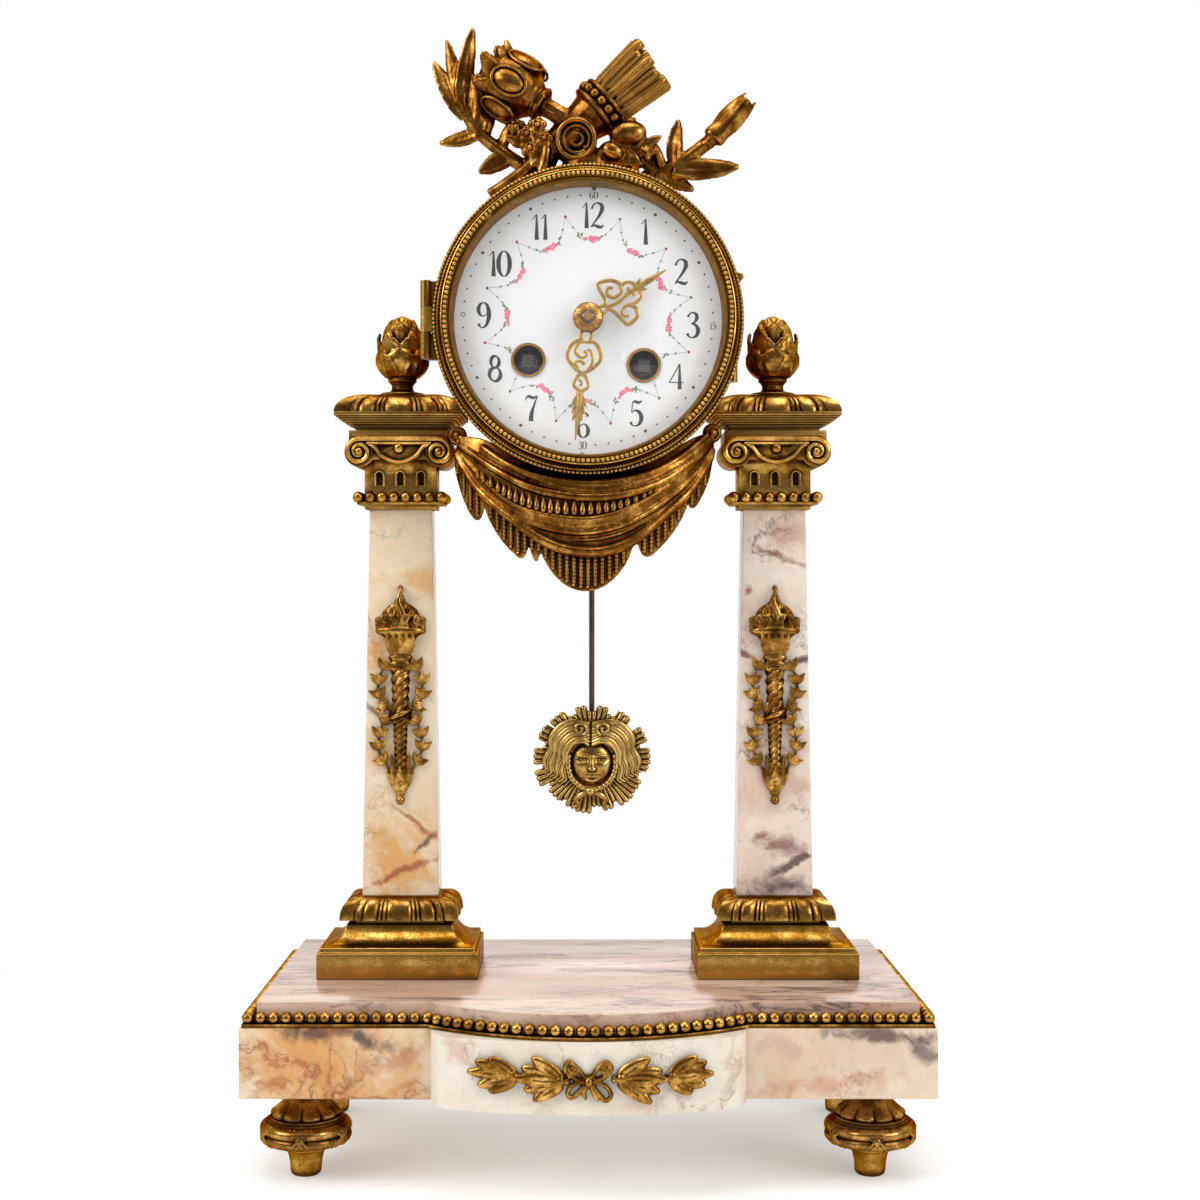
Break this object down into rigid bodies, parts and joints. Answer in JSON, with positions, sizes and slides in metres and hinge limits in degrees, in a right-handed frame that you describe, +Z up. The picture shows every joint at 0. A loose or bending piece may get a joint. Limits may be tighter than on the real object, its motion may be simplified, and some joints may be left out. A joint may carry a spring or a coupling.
{
  "type": "mantel clock",
  "caption": "Portico mantel clock: marble obelisk columns on a bowed base carry a gilt drum with enamel dial, drapery, trophy crest and a sunburst pendulum.",
  "frame": {"origin": "on the floor, below the middle of the clock's width and depth", "axes": "+X to the viewer's right, +Y from the dial towards the back, +Z up"},
  "size_m": [0.224, 0.1334, 0.3893],
  "materials": {
    "marble": "polished",
    "gilt": "satin",
    "dark_gilt": "satin",
    "brass": "satin",
    "steel": "satin",
    "enamel": "gloss",
    "glass": "gloss"
  },
  "bodies": {
    "case": {"base_block": "marble", "base_top": "marble", "shaft_left": "marble", "shaft_right": "marble", "base_beading": "dark_gilt", "foot_front_left": "dark_gilt", "foot_front_right": "dark_gilt", "foot_rear_left": "dark_gilt", "foot_rear_right": "dark_gilt", "drapery": "dark_gilt", "crest": "dark_gilt", "base_ribbon_mount": "gilt", "plinth_left": "gilt", "plinth_right": "gilt", "cushion_left": "gilt", "cushion_right": "gilt", "torch_left": "gilt", "torch_right": "gilt", "capital_left": "gilt", "capital_right": "gilt", "cap_left": "gilt", "cap_right": "gilt", "finial_left": "gilt", "finial_right": "gilt", "drum_case": "gilt", "dial_pan": "brass", "front_plate": "brass", "back_plate": "brass", "plate_pillars": "brass", "suspension_cock": "brass", "bell": "brass", "tie_rods": "steel", "hinge_pins": "steel", "clicks": "steel", "bell_stand": "steel", "dial": "enamel"},
    "front_door": {"bezel": "gilt", "glass": "glass"},
    "rear_door": {"back_door": "brass"},
    "centre_train": {"centre_arbor": "brass", "cannon_pinion": "steel", "minute_hand": "brass", "hand_collet": "brass"},
    "hour_train": {"hour_wheel": "brass", "hour_hand": "brass"},
    "minute_wheel_body": {"minute_wheel": "brass"},
    "intermediate_body": {"intermediate_wheel": "brass"},
    "going_barrel_body": {"going_barrel": "brass"},
    "third_body": {"third_wheel": "brass"},
    "escape_body": {"escape_wheel": "brass"},
    "pendulum": {"suspension_spring": "steel", "pendulum_rod": "steel", "pendulum_bob": "gilt"},
    "pallet_body": {"pallets": "steel"},
    "going_arbor_body": {"going_arbor": "steel"},
    "strike_arbor_body": {"strike_arbor": "steel"},
    "strike_barrel_body": {"strike_barrel": "brass"},
    "pin_wheel_body": {"pin_wheel": "brass"},
    "fly_body": {"fly": "brass"},
    "hammer_body": {"hammer": "steel"}
  },
  "joints": [
    {"name": "bezel_door_hinge", "type": "hinge", "parent": "case", "child": "front_door", "pos_m": [-0.054, -0.02125, 0.28324], "axis": [0, 0, -1], "range_deg": [0, 115]},
    {"name": "back_door_hinge", "type": "hinge", "parent": "case", "child": "rear_door", "pos_m": [0.054, 0.04965, 0.28324], "axis": [0, 0, -1], "range_deg": [0, 105]},
    {"name": "minute_hand_turn", "type": "hinge", "parent": "case", "child": "centre_train", "pos_m": [0, -0.02025, 0.28324], "axis": [0, 1, 0], "continuous": true},
    {"name": "hour_hand_turn", "type": "hinge", "parent": "case", "child": "hour_train", "pos_m": [0, -0.02025, 0.28324], "axis": [0, 1, 0], "continuous": true},
    {"name": "minute_wheel_turn", "type": "hinge", "parent": "case", "child": "minute_wheel_body", "pos_m": [0.01065, -0.02025, 0.28876], "axis": [0, 1, 0], "continuous": true},
    {"name": "intermediate_turn", "type": "hinge", "parent": "case", "child": "intermediate_body", "pos_m": [0.01446, -0.02025, 0.28793], "axis": [0, 1, 0], "continuous": true},
    {"name": "going_barrel_turn", "type": "hinge", "parent": "case", "child": "going_barrel_body", "pos_m": [0.01854, -0.02025, 0.26818], "axis": [0, 1, 0], "continuous": true},
    {"name": "third_turn", "type": "hinge", "parent": "case", "child": "third_body", "pos_m": [-0.00339, -0.02025, 0.29645], "axis": [0, 1, 0], "continuous": true},
    {"name": "escape_turn", "type": "hinge", "parent": "case", "child": "escape_body", "pos_m": [0.00106, -0.02025, 0.30651], "axis": [0, 1, 0], "continuous": true},
    {"name": "pendulum_swing", "type": "hinge", "parent": "case", "child": "pendulum", "pos_m": [0.00158, -0.02025, 0.318], "axis": [0, 1, 0], "range_deg": [-4, 4]},
    {"name": "pallet_rock", "type": "hinge", "parent": "case", "child": "pallet_body", "pos_m": [0.00158, -0.02025, 0.318], "axis": [0, 1, 0], "range_deg": [-4, 4]},
    {"name": "going_winding", "type": "hinge", "parent": "case", "child": "going_arbor_body", "pos_m": [0.01854, -0.02025, 0.26818], "axis": [0, 1, 0], "continuous": true},
    {"name": "strike_winding", "type": "hinge", "parent": "case", "child": "strike_arbor_body", "pos_m": [-0.01982, -0.02025, 0.26993], "axis": [0, 1, 0], "continuous": true},
    {"name": "strike_barrel_turn", "type": "hinge", "parent": "case", "child": "strike_barrel_body", "pos_m": [-0.01982, -0.02025, 0.26993], "axis": [0, 1, 0], "continuous": true},
    {"name": "pin_wheel_turn", "type": "hinge", "parent": "case", "child": "pin_wheel_body", "pos_m": [-0.01397, -0.02025, 0.28922], "axis": [0, 1, 0], "continuous": true},
    {"name": "fly_turn", "type": "hinge", "parent": "case", "child": "fly_body", "pos_m": [-0.01869, -0.02025, 0.30125], "axis": [0, 1, 0], "continuous": true},
    {"name": "hammer_lift", "type": "hinge", "parent": "case", "child": "hammer_body", "pos_m": [-0.02854, -0.02025, 0.29855], "axis": [0, 1, 0], "range_deg": [0, 12]}
  ],
  "couplings": [
    {"joint": "hour_hand_turn", "follows": "minute_hand_turn", "ratio": 0.083333},
    {"joint": "minute_wheel_turn", "follows": "minute_hand_turn", "ratio": -0.33333},
    {"joint": "intermediate_turn", "follows": "minute_hand_turn", "ratio": -0.14286},
    {"joint": "going_barrel_turn", "follows": "minute_hand_turn", "ratio": 0.02381},
    {"joint": "third_turn", "follows": "minute_hand_turn", "ratio": -10},
    {"joint": "escape_turn", "follows": "minute_hand_turn", "ratio": 100},
    {"joint": "pallet_rock", "follows": "pendulum_swing", "ratio": 1},
    {"joint": "pin_wheel_turn", "follows": "strike_barrel_turn", "ratio": -6},
    {"joint": "fly_turn", "follows": "strike_barrel_turn", "ratio": 45}
  ]
}
